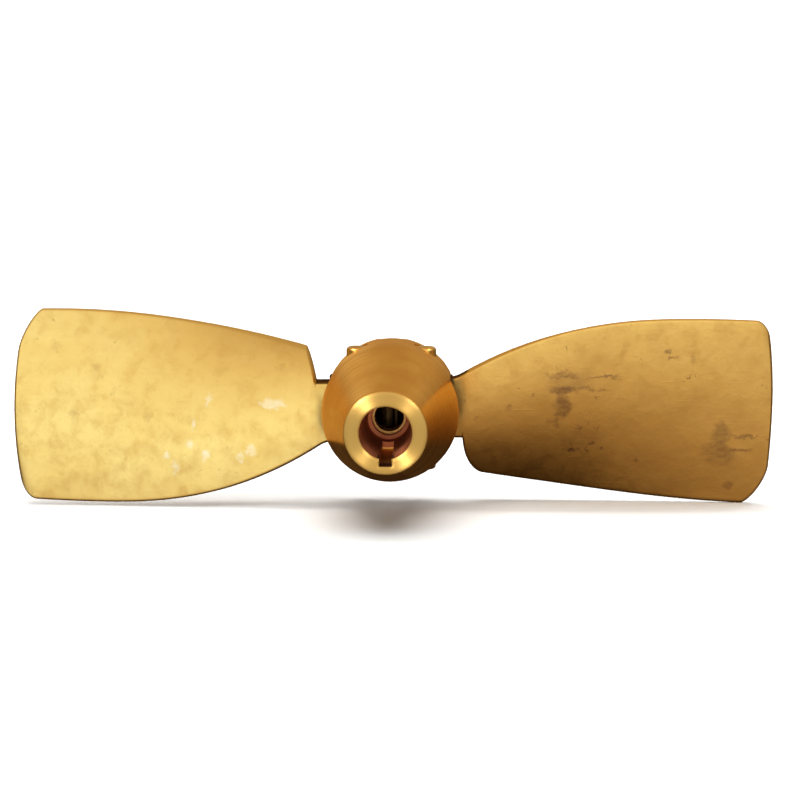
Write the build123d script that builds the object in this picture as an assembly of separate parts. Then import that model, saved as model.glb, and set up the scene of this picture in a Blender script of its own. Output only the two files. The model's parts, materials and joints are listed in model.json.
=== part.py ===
"""Two-blade geared folding propeller of solid bronze for a tapered, keyed shaft.

The origin is the centre of the hub's forward face, on the shaft axis.
+Y runs aft along the shaft, +Z runs up along the two pivot pins and +X runs out
along the right-hand blade.  All sizes are in millimetres.
"""

import os
from math import acos, atan, cos, pi, radians, sin, tan

from build123d import *

# Propeller
DIAMETER = 381.0
TIP_R = DIAMETER / 2
PITCH = 0.45 * DIAMETER
PIN_X = 17.0
PIN_Y = 82.0

# Hub outside
NOSE_R = 19.5
NOSE_BLEND_R = 2.0
HUB_R = 34.2
CONE_LENGTH = 60.0
CONE_BLEND_R = 60.0
CHEEK_R = 15.0
CHEEK_END_BLEND_R = 3.0
CHEEK_VALLEY = 9.0

# Hub inside
BORE_R = 12.5
TAPER_SLOPE = 0.05
TAPER_LENGTH = 46.0
BORE_CHAMFER = 0.6
KEYWAY_WIDTH = 6.0
KEYWAY_DEPTH = 3.3
KEYWAY_LENGTH = 40.0
THREAD_HOLE_R = 8.25
NUT_SEAT_Y = 50.0
NUT_POCKET_R = 15.0
SLOT_FLOOR_Y = 62.2
SLOT_HALF = 17.0

# Shaft nut and its tab washer
NUT_ACROSS_FLATS = 24.0
NUT_HEIGHT = 9.5
NUT_THREAD_R = 7.19
NUT_CHAMFER_LENGTH = 0.8
NUT_CHAMFER_DEPTH = 1.44
WASHER_R = 13.5
WASHER_HOLE_R = 8.7
WASHER_THICK = 1.5
TAB_WIDTH = 8.0
TAB_HEIGHT = 6.0
TANG_SIZE = 3.0
TANG_DEPTH = 2.0
TANG_R = 11.2
TANG_GAP = 0.1

# Pivots
PIN_R = 5.5
PIN_HALF = 31.0
PIN_END_BLEND_R = 1.8
PIN_GROOVE_Z = 23.0
PIN_GROOVE_WIDTH = 3.0
PIN_GROOVE_DEPTH = 0.6
PIN_SEAT_GAP = 0.02
RUNNING_GAP = 0.05
BUSH_R = 7.0
BUSH_FLANGE_R = 9.5
BUSH_FLANGE_THICK = 0.9
BUSH_LENGTH = 14.0
BUSH_PROUD = 0.15
BUSH_SEAT_GAP = 0.02

# Lock screws of the pins
SCREW_R = 2.5
SCREW_LENGTH = 6.0
SCREW_POINT_R = 1.3
SCREW_SOCKET_ACROSS = 2.5
SCREW_SOCKET_DEPTH = 2.2
SCREW_CHAMFER = 0.4

# Gear teeth on the blade knuckles
TEETH_PER_TURN = 12
MODULE = 2 * PIN_X / TEETH_PER_TURN
PRESSURE_ANGLE = radians(25.0)
ADDENDUM = 0.8 * MODULE
DEDENDUM = 1.05 * MODULE
BACKLASH = 0.25
GEAR_PITCH_R = PIN_X
GEAR_BASE_R = GEAR_PITCH_R * cos(PRESSURE_ANGLE)
GEAR_TIP_R = GEAR_PITCH_R + ADDENDUM
GEAR_ROOT_R = GEAR_PITCH_R - DEDENDUM
TOOTH_STEP = 360.0 / TEETH_PER_TURN

# Opening stop: a lug on each knuckle against a rubber buffer in the slot floor
KNUCKLE_HALF = 16.6
STOP_Y = 14.0
STOP_GAP = 0.15
LUG_X = 13.5
ARM_BACK_Y = 9.0
LUG_BACK = (8.5, 12.5)
BUFFER_X = (7.0, 13.0)
BUFFER_HALF = 8.0
BUFFER_SUNK = 6.0
BUFFER_SEAT_GAP = 0.05
BUFFER_BLEND_R = 1.5

# Blade
ROOT_X = 28.0
NECK_X = 38.0
BODY_X = 72.0
NECK_TRAILING_Z = 15.2
NECK_INNER_X = 31.0
BLADE_STATIONS = [28.0, 33.0, 38.0, 44.0, 52.0, 62.0, 76.0, 95.0, 118.0, 140.0, 160.0, 178.0, 191.5]
LEADING_Z = 47.2
LEADING_ROOT_Z = 23.9
LEADING_ROOT_X = 45.0
LEADING_FULL_X = 150.0
LEADING_POWER = 2.5
LEADING_TIP_DROP = 1.2
TRAILING_Z = 49.0
TRAILING_ROOT_Z = 30.5
TRAILING_ROOT_X = 43.5
TRAILING_FULL_X = 175.0
TRAILING_POWER = 1.9
TWIST_LIMIT = 0.3
THICK_BODY = 9.2
THICK_TIP = 4.0
THICK_NECK = 18.0
THICK_ROOT = 22.0
EDGE_BODY = 2.6
EDGE_TIP = 1.8
EDGE_NECK = 11.0
EDGE_ROOT = 19.0
EDGE_BULGE = 0.4

# The two castings were ground by hand, so their corners and heels differ
RIGHT_CORNERS = (5.0, 11.0)
LEFT_CORNERS = (10.0, 8.0)
RIGHT_HEEL = (19.3, 22.5)
LEFT_HEEL = (21.3, 25.5)
HEEL_OUTER_Z = 30.0

# Helpers: length of the block whose corners round a tip, a reach past the whole part, and past one face
TIP_BLOCK = 20.0
FAR = 60.0
OVERLAP = 1.0


def along_y(radius, start, end, end_radius=None):
    """Solid cylinder or cone on the shaft axis from y = start to y = end."""
    turn = Plane(origin=(0, start, 0), x_dir=(1, 0, 0), z_dir=(0, 1, 0))
    if end_radius is None:
        shape = Cylinder(radius, end - start)
    else:
        shape = Cone(radius, end_radius, end - start)
    return turn * Pos(0, 0, (end - start) / 2) * shape


def block(x, y, z):
    """Box between three (low, high) pairs."""
    size = [high - low for low, high in (x, y, z)]
    middle = [(high + low) / 2 for low, high in (x, y, z)]
    return Pos(*middle) * Box(*size)


# ---------------------------------------------------------------- hub


def hub_outside():
    """Turned nose, cone and barrel, with the aft end cut to two round cheeks."""
    cheek_end = PIN_Y + CHEEK_R
    outline = Polyline(
        (0, 0),
        (NOSE_R, 0),
        (HUB_R, CONE_LENGTH),
        (HUB_R, cheek_end),
        (0, cheek_end),
        close=True,
    )
    profile = make_face(outline)
    rounded = [
        (NOSE_R, 0, NOSE_BLEND_R),
        (HUB_R, CONE_LENGTH, CONE_BLEND_R),
        (HUB_R, cheek_end, CHEEK_END_BLEND_R),
    ]
    for x, y, radius in rounded:
        corner = profile.vertices().sort_by_distance((x, y, 0))[0]
        profile = fillet(corner, radius)
    turned = revolve(profile, Axis.Y)

    plan = Pos(0, PIN_Y / 2) * Rectangle(4 * HUB_R, PIN_Y)
    plan += Pos(0, PIN_Y + CHEEK_VALLEY / 2) * Rectangle(2 * PIN_X, CHEEK_VALLEY)
    plan += [Pos(side * PIN_X, PIN_Y) * Circle(CHEEK_R) for side in (-1, 1)]
    return turned & extrude(plan, HUB_R, both=True)


def keyway():
    """Parallel keyway below the shaft axis, with its floor parallel to the taper."""
    floor_front = -(BORE_R + KEYWAY_DEPTH)
    floor_back = floor_front + KEYWAY_LENGTH * TAPER_SLOPE
    top = -BORE_R / 2
    side = Plane.YZ * make_face(
        Polyline(
            (-OVERLAP, floor_front - OVERLAP * TAPER_SLOPE),
            (KEYWAY_LENGTH, floor_back),
            (KEYWAY_LENGTH, top),
            (-OVERLAP, top),
            close=True,
        )
    )
    return extrude(side, KEYWAY_WIDTH / 2, both=True)


def make_hub():
    taper_end_r = BORE_R - TAPER_LENGTH * TAPER_SLOPE
    body = hub_outside()
    body -= along_y(BORE_R, 0, TAPER_LENGTH, taper_end_r)
    body -= along_y(BORE_R + BORE_CHAMFER, 0, BORE_CHAMFER, BORE_R - BORE_CHAMFER * TAPER_SLOPE)
    body -= keyway()
    body -= along_y(THREAD_HOLE_R, TAPER_LENGTH - OVERLAP, NUT_SEAT_Y + OVERLAP)
    body -= along_y(NUT_POCKET_R, NUT_SEAT_Y, SLOT_FLOOR_Y + OVERLAP)
    body -= block((-FAR, FAR), (SLOT_FLOOR_Y, SLOT_FLOOR_Y + FAR), (-SLOT_HALF, SLOT_HALF))
    body -= tang(TANG_GAP)
    for side in (-1, 1):
        body -= Pos(side * PIN_X, PIN_Y, 0) * Cylinder(PIN_R + PIN_SEAT_GAP, 3 * HUB_R)
        body -= buffer(side, BUFFER_SEAT_GAP)
        body -= screw_hole(side)
    return body


# ---------------------------------------------------------------- blade


def blend(x, stations):
    """Value at x on the straight runs between (x, value) stations."""
    if x <= stations[0][0]:
        return stations[0][1]
    for (x0, value0), (x1, value1) in zip(stations, stations[1:]):
        if x <= x1:
            part = (x - x0) / (x1 - x0)
            return value0 + (value1 - value0) * part
    return stations[-1][1]


def edge_height(x, full, root, root_x, full_x, power):
    """Height of a blade edge that rises from its root and flattens towards the tip."""
    left = max(full_x - x, 0.0) / (full_x - root_x)
    return full - (full - root) * left**power


def leading_z(x):
    past = max(x - LEADING_FULL_X, 0.0) / (TIP_R - LEADING_FULL_X)
    edge = edge_height(x, LEADING_Z, LEADING_ROOT_Z, LEADING_ROOT_X, LEADING_FULL_X, LEADING_POWER)
    return edge - LEADING_TIP_DROP * past**2


def trailing_z(x):
    return -edge_height(
        x, TRAILING_Z, TRAILING_ROOT_Z, TRAILING_ROOT_X, TRAILING_FULL_X, TRAILING_POWER
    )


def pitch_slope(x):
    """Tangent of the pitch angle at radius x, held back near the hub."""
    return min(PITCH / (2 * pi * x), TWIST_LIMIT)


def blade_section(x):
    """Face of the blade at radius x: flat pressure side aft, domed suction side forward."""
    thick = blend(x, [(ROOT_X, THICK_ROOT), (NECK_X, THICK_NECK), (BODY_X, THICK_BODY), (TIP_R, THICK_TIP)])
    edge = blend(x, [(ROOT_X, EDGE_ROOT), (NECK_X, EDGE_NECK), (BODY_X, EDGE_BODY), (TIP_R, EDGE_TIP)])
    slope = pitch_slope(x)
    angle = atan(slope)
    along = Vector(0, -sin(angle), cos(angle))
    forward = Vector(0, -cos(angle), -sin(angle))
    bulge = edge * EDGE_BULGE

    def on_chord(z):
        return Vector(x, PIN_Y - z * slope, z)

    lead = on_chord(leading_z(x)) - along * bulge
    trail = on_chord(trailing_z(x)) + along * bulge
    middle = (lead + trail) * 0.5
    half = forward * (edge / 2)
    outline = [
        Line(trail - half, lead - half),
        ThreePointArc(lead - half, lead + along * bulge, lead + half),
        ThreePointArc(lead + half, middle + forward * (thick - edge / 2), trail + half),
        ThreePointArc(trail + half, trail - along * bulge, trail - half),
    ]
    return make_face(outline)


def blade_outline(corner_radii):
    """Planform limits: the tip circle and the two tip corners, as a thick plate."""
    plan = Circle(TIP_R)
    low, high = -TRAILING_Z, leading_z(TIP_R)
    plan &= Pos(TIP_R, (low + FAR) / 2) * Rectangle(2 * TIP_R, FAR - low)
    tip = Pos(TIP_R, (low + high) / 2) * Rectangle(2 * TIP_BLOCK, high - low)
    inboard = Pos((TIP_R - TIP_BLOCK) / 2, 0) * Rectangle(TIP_R - TIP_BLOCK, 2 * FAR)
    plan &= tip + inboard
    for height, radius in zip((high, low), corner_radii):
        corner = plan.vertices().sort_by_distance((TIP_R, height, 0))[0]
        plan = fillet(corner, radius)
    upright = Plane(origin=(0, PIN_Y, 0), x_dir=(1, 0, 0), z_dir=(0, -1, 0))
    return extrude(upright * plan, FAR, both=True)


def heel_cut(inner_r, outer_r):
    """What is turned away above and below the knuckle, about the pivot axis."""
    grow = (outer_r - inner_r) / (HEEL_OUTER_Z - KNUCKLE_HALF)
    far_r = inner_r + grow * (FAR - KNUCKLE_HALF)
    side = Plane.XZ * make_face(
        Polyline((0, KNUCKLE_HALF), (inner_r, KNUCKLE_HALF), (far_r, FAR), (0, FAR), close=True)
    )
    upper = revolve(side, Axis.Z)
    return [Pos(PIN_X, PIN_Y, 0) * upper, Pos(PIN_X, PIN_Y, 0) * mirror(upper, Plane.XY)]


def involute(angle):
    return tan(angle) - angle


def tooth_half_angle(radius):
    """Half the angle that a tooth fills at a radius from its gear's centre."""
    half_thickness = (pi * MODULE / 2 - BACKLASH) / 2
    at_pitch = half_thickness / GEAR_PITCH_R + involute(PRESSURE_ANGLE)
    return at_pitch - involute(acos(min(GEAR_BASE_R / radius, 1.0)))


def polar(radius, angle):
    return (radius * cos(angle), radius * sin(angle))


def tooth():
    """One gear tooth along +X, with involute flanks from the base circle outwards."""
    middle_r = (GEAR_BASE_R + GEAR_TIP_R) / 2
    base = tooth_half_angle(GEAR_BASE_R)
    flank = tooth_half_angle(middle_r)
    tip = tooth_half_angle(GEAR_TIP_R)
    inside = GEAR_ROOT_R - OVERLAP
    outline = [
        Line(polar(inside, -base), polar(GEAR_BASE_R, -base)),
        ThreePointArc(
            polar(GEAR_BASE_R, -base), polar(middle_r, -flank), polar(GEAR_TIP_R, -tip)
        ),
        ThreePointArc(polar(GEAR_TIP_R, -tip), (GEAR_TIP_R, 0), polar(GEAR_TIP_R, tip)),
        ThreePointArc(
            polar(GEAR_TIP_R, tip), polar(middle_r, flank), polar(GEAR_BASE_R, base)
        ),
        Line(polar(GEAR_BASE_R, base), polar(inside, base)),
        Line(polar(inside, base), polar(inside, -base)),
    ]
    return make_face(outline)


def knuckle(first_tooth, count):
    """Geared knuckle about the pivot of the right-hand blade, with its stop lug."""
    plan = Circle(GEAR_ROOT_R)
    for index in range(count):
        plan += Rot(0, 0, first_tooth - index * TOOTH_STEP) * tooth()
    arm = make_face(
        Polyline(
            (0, -STOP_Y),
            (LUG_X, -STOP_Y),
            (LUG_X, ARM_BACK_Y),
            LUG_BACK,
            (0, GEAR_ROOT_R - OVERLAP),
            close=True,
        )
    )
    solid = extrude(plan + arm, KNUCKLE_HALF, both=True)
    return Pos(PIN_X, PIN_Y, 0) * solid


def pivot_bore():
    """Bore for the bushes with a recess for each flange."""
    at_pin = Pos(PIN_X, PIN_Y, 0)
    recess = BUSH_FLANGE_THICK - BUSH_PROUD
    bore = at_pin * Cylinder(BUSH_R + BUSH_SEAT_GAP, 2 * FAR)
    for side in (-1, 1):
        height = side * (KNUCKLE_HALF - recess / 2 + OVERLAP / 2)
        bore += at_pin * Pos(0, 0, height) * Cylinder(BUSH_FLANGE_R + BUSH_SEAT_GAP, recess + OVERLAP)
    return bore


def make_blade(first_tooth, count, corner_radii, heel):
    """Right-hand blade lying along +X, ready to be turned about the shaft axis."""
    foil = loft([blade_section(x) for x in BLADE_STATIONS])
    foil &= blade_outline(corner_radii)
    for cut in heel_cut(*heel):
        foil -= cut
    blade = foil + knuckle(first_tooth, count) - pivot_bore()
    heel_x = PIN_X + heel[0]
    return blade - block((NECK_INNER_X, heel_x), (0, 2 * PIN_Y), (-FAR, -NECK_TRAILING_Z))


def half_turn(shape):
    """The same piece on the other side of the shaft axis."""
    return Rot(0, 180, 0) * shape


# ---------------------------------------------------------------- pivots


def make_pin(side):
    body = Cylinder(PIN_R, 2 * PIN_HALF)
    body = fillet(body.edges().filter_by(GeomType.CIRCLE), PIN_END_BLEND_R)
    outer = Cylinder(PIN_R + OVERLAP, PIN_GROOVE_WIDTH)
    inner = Cylinder(PIN_R - PIN_GROOVE_DEPTH, PIN_GROOVE_WIDTH)
    body -= Pos(0, 0, PIN_GROOVE_Z) * (outer - inner)
    return Pos(side * PIN_X, PIN_Y, 0) * body


def make_bush(side, end):
    """Flanged bush pressed into one end of a knuckle: end is +1 for upper, -1 for lower."""
    flange_low = KNUCKLE_HALF + BUSH_PROUD - BUSH_FLANGE_THICK
    sleeve = Pos(0, 0, flange_low + BUSH_FLANGE_THICK - BUSH_LENGTH / 2) * Cylinder(BUSH_R, BUSH_LENGTH)
    flange = Pos(0, 0, flange_low + BUSH_FLANGE_THICK / 2) * Cylinder(BUSH_FLANGE_R, BUSH_FLANGE_THICK)
    bush = sleeve + flange - Cylinder(PIN_R + RUNNING_GAP, 2 * FAR)
    if end < 0:
        bush = Rot(180, 0, 0) * bush
    return Pos(side * PIN_X, PIN_Y, 0) * bush


def aft_of_pin(side, start, length, shape):
    """Place a Z-aligned shape of that length behind a pin, in the upper cheek."""
    turn = Plane(
        origin=(side * PIN_X, PIN_Y + start, PIN_GROOVE_Z), x_dir=(1, 0, 0), z_dir=(0, 1, 0)
    )
    return turn * Pos(0, 0, length / 2) * shape


def screw_hole(side):
    length = CHEEK_R + 2
    return aft_of_pin(side, 0, length, Cylinder(SCREW_R + PIN_SEAT_GAP, length))


def make_lock_screw(side):
    """Hollow-head set screw with a dog point that sits in the pin's groove."""
    start = PIN_R + 2 * RUNNING_GAP
    point_length = start - (PIN_R - PIN_GROOVE_DEPTH) - RUNNING_GAP
    body = chamfer(Cylinder(SCREW_R, SCREW_LENGTH).edges(), SCREW_CHAMFER)
    socket = extrude(RegularPolygon(SCREW_SOCKET_ACROSS / 2, 6, major_radius=False), SCREW_SOCKET_DEPTH)
    body -= Pos(0, 0, SCREW_LENGTH / 2 - SCREW_SOCKET_DEPTH) * socket
    screw = aft_of_pin(side, start, SCREW_LENGTH, body)
    screw += aft_of_pin(
        side, start - point_length, point_length + OVERLAP, Cylinder(SCREW_POINT_R, point_length + OVERLAP)
    )
    return screw


def buffer(side, gap=0.0):
    """Rubber buffer let into the slot floor under the stop lug."""
    low, high = sorted(side * (PIN_X + offset) for offset in BUFFER_X)
    top = PIN_Y - STOP_Y - STOP_GAP
    return block(
        (low - gap, high + gap),
        (SLOT_FLOOR_Y - BUFFER_SUNK - gap, top),
        (-BUFFER_HALF - gap, BUFFER_HALF + gap),
    )


def make_buffer(side):
    return fillet(buffer(side).edges().filter_by(Axis.Y), BUFFER_BLEND_R)


# ---------------------------------------------------------------- nut


def tang(gap=0.0):
    """Tang of the tab washer, bent forward into a blind hole in the nut seat."""
    half = TANG_SIZE / 2 + gap
    return block(
        (-half, half),
        (NUT_SEAT_Y - TANG_DEPTH - gap, NUT_SEAT_Y + gap),
        (-TANG_R - half, -TANG_R + half),
    )


def make_washer():
    ring = along_y(WASHER_R, NUT_SEAT_Y, NUT_SEAT_Y + WASHER_THICK)
    ring -= along_y(WASHER_HOLE_R, NUT_SEAT_Y - OVERLAP, NUT_SEAT_Y + WASHER_THICK + OVERLAP)
    tab_low = NUT_ACROSS_FLATS / 2 + RUNNING_GAP
    tab = block(
        (-TAB_WIDTH / 2, TAB_WIDTH / 2),
        (NUT_SEAT_Y, NUT_SEAT_Y + WASHER_THICK + TAB_HEIGHT),
        (tab_low, tab_low + WASHER_THICK),
    )
    return ring + tab + tang()


def make_nut():
    """Thin hexagon nut with its corners turned off at both faces."""
    start = NUT_SEAT_Y + WASHER_THICK
    corner_r = NUT_ACROSS_FLATS / 2 / cos(radians(30))
    lie = Plane(origin=(0, start, 0), x_dir=(1, 0, 0), z_dir=(0, 1, 0))
    hexagon = RegularPolygon(NUT_ACROSS_FLATS / 2, 6, major_radius=False)
    prism = extrude(lie * hexagon, NUT_HEIGHT)
    barrel = Cylinder(corner_r, NUT_HEIGHT)
    barrel = chamfer(barrel.edges().filter_by(GeomType.CIRCLE), NUT_CHAMFER_LENGTH, NUT_CHAMFER_DEPTH)
    prism &= lie * Pos(0, 0, NUT_HEIGHT / 2) * barrel
    return prism - along_y(NUT_THREAD_R, start - 1, start + NUT_HEIGHT + 1)


def parts():
    """Every separate piece by its name."""
    made = {
        "hub": make_hub(),
        "blade_right": make_blade(180.0, 4, RIGHT_CORNERS, RIGHT_HEEL),
        "blade_left": half_turn(make_blade(180.0 + TOOTH_STEP / 2, 5, LEFT_CORNERS, LEFT_HEEL)),
        "shaft_nut": make_nut(),
        "tab_washer": make_washer(),
    }
    for name, side in (("left", -1), ("right", 1)):
        made["pivot_pin_" + name] = make_pin(side)
        made["bush_" + name + "_upper"] = make_bush(side, 1)
        made["bush_" + name + "_lower"] = make_bush(side, -1)
        made["pin_lock_screw_" + name] = make_lock_screw(side)
        made["stop_buffer_" + name] = make_buffer(side)
    return made


os.makedirs("parts", exist_ok=True)
for node, shape in parts().items():
    export_step(shape, "parts/" + node + ".step")
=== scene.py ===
"""Looks of a two-blade folding boat propeller: ground blades, a turned hub, camera, floor and light."""

import json
from math import acos, cos, hypot, pi, radians, sin, sqrt, tan

import bmesh
import bpy
import numpy as np
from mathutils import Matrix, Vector, noise

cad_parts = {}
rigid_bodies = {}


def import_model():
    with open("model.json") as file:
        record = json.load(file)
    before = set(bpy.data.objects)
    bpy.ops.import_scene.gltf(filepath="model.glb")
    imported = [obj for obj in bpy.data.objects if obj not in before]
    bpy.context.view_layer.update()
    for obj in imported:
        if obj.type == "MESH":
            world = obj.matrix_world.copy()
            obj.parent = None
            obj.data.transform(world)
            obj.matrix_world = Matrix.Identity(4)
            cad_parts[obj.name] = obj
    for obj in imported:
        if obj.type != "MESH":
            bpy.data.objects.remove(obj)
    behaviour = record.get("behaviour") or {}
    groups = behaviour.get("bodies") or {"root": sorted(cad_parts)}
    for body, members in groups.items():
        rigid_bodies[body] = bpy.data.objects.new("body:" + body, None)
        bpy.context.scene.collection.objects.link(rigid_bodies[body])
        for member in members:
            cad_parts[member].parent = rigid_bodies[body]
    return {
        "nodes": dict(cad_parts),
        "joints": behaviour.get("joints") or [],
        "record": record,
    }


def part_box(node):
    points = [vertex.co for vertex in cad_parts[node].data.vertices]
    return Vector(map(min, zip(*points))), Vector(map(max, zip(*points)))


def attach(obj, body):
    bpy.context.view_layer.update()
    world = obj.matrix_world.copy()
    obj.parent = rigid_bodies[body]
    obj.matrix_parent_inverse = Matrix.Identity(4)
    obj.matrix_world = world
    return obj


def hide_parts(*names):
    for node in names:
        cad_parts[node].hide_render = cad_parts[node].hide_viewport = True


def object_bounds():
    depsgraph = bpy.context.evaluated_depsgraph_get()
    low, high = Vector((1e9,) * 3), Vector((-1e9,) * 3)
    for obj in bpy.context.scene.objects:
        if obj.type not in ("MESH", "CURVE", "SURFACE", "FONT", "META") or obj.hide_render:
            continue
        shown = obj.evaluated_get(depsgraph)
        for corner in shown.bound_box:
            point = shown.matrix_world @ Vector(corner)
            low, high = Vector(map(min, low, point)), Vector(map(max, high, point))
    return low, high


for leftover in list(bpy.data.objects):
    bpy.data.objects.remove(leftover)

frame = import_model()
cad_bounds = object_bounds()

MM = 0.001

# Places and sizes read from the frame, in millimetres
HINGE = {joint["name"]: Vector(joint["pos_m"]) / MM for joint in frame["joints"]}
PIN_X = HINGE["blade_right_fold"].x
PIN_Y = HINGE["blade_right_fold"].y
BLADE_LOW, BLADE_HIGH = (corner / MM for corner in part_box("blade_right"))
TIP_R = BLADE_HIGH.x
LEADING_Z = BLADE_HIGH.z
TRAILING_Z = -BLADE_LOW.z
PITCH = 0.45 * 2 * TIP_R

# Blade outline and thickness, in millimetres
KNUCKLE_HALF = 16.6
LEADING_DROP = 23.3
LEADING_ROOT_X = 45.0
LEADING_FULL_X = 150.0
LEADING_POWER = 2.5
LEADING_TIP_DROP = 1.2
NECK_ROUND = 2.0
TWIST_LIMIT = 0.3
TWIST_ROUND = 0.08
ROOT_X = 28.5
CORNER_SPAN = 12.0
BEND_X = 90.0
THICK_BODY_X = 60.0
EDGE_TIP = 1.8
EDGE_BODY = 2.6
EDGE_ROUND = 1.3
HOLLOW = 0.25
NECK_HALF = 2.6
NECK_REACH = (36.0, 90.0)
LEADING_LEAN = 0.02
CURL_ROOT = 2.7
CURL_BODY = 2.1
CURL_FADE_X = (50.0, 130.0)
NECK_ROUNDING = 0.15
EDGE_FADE = 6.0

# Hand-ground unevenness of the faces: wavelength and depth, in millimetres
WAVES = ((34.0, 0.13), (13.0, 0.05), (5.0, 0.012))
BACK_SEED_STEP = 5.0

# Gear teeth, bore and stop lug of a knuckle, in millimetres
TEETH_PER_TURN = 12
TOOTH_STEP = 2 * pi / TEETH_PER_TURN
PRESSURE_ANGLE = radians(25.0)
MODULE = 2 * PIN_X / TEETH_PER_TURN
GEAR_BASE_R = PIN_X * cos(PRESSURE_ANGLE)
TOOTH_HEIGHT = 0.8 * MODULE
TOOTH_DEPTH = 1.05 * MODULE
TOOTH_RELIEF = 0.01
GEAR_TIP_R = PIN_X + TOOTH_HEIGHT - TOOTH_RELIEF
GEAR_ROOT_R = PIN_X - TOOTH_DEPTH
BACKLASH = 0.25
BUSH_R = 7.02
BUSH_FLANGE_R = 9.52
BUSH_RECESS = 0.75
KNUCKLE_BEVEL = 0.4
ARM_PLAN = [(0, -14.0), (12.8, -14.0), (12.8, 9.0), (8.5, 12.5), (0, 13.0)]

# Fineness of the meshes
LEAN_STEP = 0.05
LEAN_MAX = 12.0
HEEL_END_X = 50.0
HEEL_RINGS = 60
BODY_RINGS = 130
CORNER_RINGS = 40
CHORD_STEPS = 84
EDGE_STEPS = 6
FLANK_STEPS = 24
TURN_STEPS = 720
SHARP_ANGLE = radians(38)

# Where the materials change, in metres: no effect at the first value, full effect at the second
# Painted shade on the gear teeth and on the knuckle flats next to the hub
PIVOT_SHADE_TEETH = (0.0325, 0.0305)
PIVOT_SHADE_FLATS = (0.0395, 0.037)
FACE_DEPTH = (0.0011, 0.0003)
INNER_DEPTH = (0.0002, 0.0009)
BORE_RADIUS = (0.0136, 0.0131)
KEYWAY_SIDE = (0.0042, 0.0036)
KEYWAY_TOP = (-0.0105, -0.0115)
KEYWAY_FLOOR = (0.0178, 0.0172)
KEYWAY_SHADE = (0.016, 0.006)
LEDGE_DEPTH = (0.0494, 0.0498)
POCKET_DEPTH = (0.0503, 0.0509)


# ------------------------------------------------------------------ blade shape


def smooth_step(value):
    """Value held between 0 and 1 and eased at both ends."""
    value = np.clip(value, 0.0, 1.0)
    return value * value * (3 - 2 * value)


def soft_min(a, b, width):
    """Smaller of two values, with the crossing rounded over that width."""
    mix = np.clip(0.5 + 0.5 * (b - a) / width, 0.0, 1.0)
    return b * (1 - mix) + a * mix - width * mix * (1 - mix)


def rise(x, full, drop, root_x, full_x, power):
    """Height of a blade edge that starts below its full height by the drop and flattens towards full_x."""
    left = np.maximum(full_x - x, 0.0) / (full_x - root_x)
    return full - drop * left**power


def rounded_corner(part, power):
    """Share that a rounded corner takes off an edge, from 0 at its start to 1 at its end."""
    part = np.clip(part, 0.0, 1.0)
    return 1 - (1 - part**power) ** (1 / power)


def leading_z(x, blade):
    """Height of the leading edge at a radius."""
    trim = blade["leading_trim"]
    edge = rise(x, LEADING_Z - trim, LEADING_DROP - trim, LEADING_ROOT_X, LEADING_FULL_X, LEADING_POWER)
    edge = -soft_min(-edge, -KNUCKLE_HALF, NECK_ROUND)
    past = np.maximum(x - LEADING_FULL_X, 0.0) / (TIP_R - LEADING_FULL_X)
    span, height, power = blade["leading_corner"]
    corner = height * rounded_corner((x - TIP_R + span) / span, power)
    return edge - LEADING_TIP_DROP * past**2 - corner


def trailing_z(x, blade):
    """Height of the trailing edge at a radius, with the heel and the tip corner rounded."""
    edge = rise(x, TRAILING_Z, *blade["trailing"])
    foot, heel_span, heel_power = blade["heel"]
    neck = blade["neck_half"]
    edge = edge - (edge - neck) * rounded_corner((foot + heel_span - x) / heel_span, heel_power)
    span, height, power = blade["trailing_corner"]
    return height * rounded_corner((x - TIP_R + span) / span, power) - edge


def pitch_slope(x):
    """How far the blade goes aft for each millimetre down, from the pitch, held back near the root."""
    return soft_min(PITCH / (2 * pi * x), TWIST_LIMIT, TWIST_ROUND)


def span_stations():
    """Radii of the rings of points: even along the blade, closer at the heel and the tip."""
    heel = np.linspace(ROOT_X, HEEL_END_X, HEEL_RINGS, endpoint=False)
    body = np.linspace(HEEL_END_X, TIP_R - CORNER_SPAN, BODY_RINGS, endpoint=False)
    turn = np.linspace(0.0, pi / 2, CORNER_RINGS)
    corner = TIP_R - CORNER_SPAN + (CORNER_SPAN - EDGE_ROUND) * np.sin(turn)
    rim = TIP_R - EDGE_ROUND + EDGE_ROUND * np.sin(np.linspace(0, pi / 2, EDGE_STEPS + 1))[1:]
    return np.concatenate([heel, body, corner, rim])


def chord_points(low, high):
    """Heights across one ring, closer together where the two edges are rounded."""
    turn = np.linspace(0.0, pi / 2, EDGE_STEPS + 1)
    near = EDGE_ROUND * (1 - np.cos(turn))
    inside = np.linspace(low + EDGE_ROUND, high - EDGE_ROUND, CHORD_STEPS + 1)[1:-1]
    return np.concatenate([low + near, inside, (high - near)[::-1]])


def quarter_round(depth, size):
    """Share of full thickness at a depth in from an edge rounded over a given size."""
    part = np.clip(depth / size, 0.0, 1.0)
    return np.sqrt(1 - (1 - part) ** 2)


def waviness(x, z, seed):
    """Height of the hand-ground waves at one place on a blade face, in millimetres."""
    total = 0.0
    for wavelength, depth in WAVES:
        place = Vector((x / wavelength, z / wavelength, seed))
        total += depth * noise.noise(place)
    return total


def between(x, limits):
    """Smooth 0 to 1 as x goes from the lower to the upper limit."""
    return smooth_step((x - limits[0]) / (limits[1] - limits[0]))


def front_face(radius, high, z, slope, half, blade):
    """Cambered front: nearly upright by the leading edge, leaning back more and more to the trailing edge."""
    chord = high + float(rise(radius, TRAILING_Z, *blade["trailing"]))
    down = high - z
    start = PIN_Y - high * slope - half
    curl = CURL_ROOT + (CURL_BODY - CURL_ROOT) * between(radius, CURL_FADE_X)
    return start + LEADING_LEAN * down + (slope - LEADING_LEAN) * chord * (down / chord) ** curl


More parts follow.
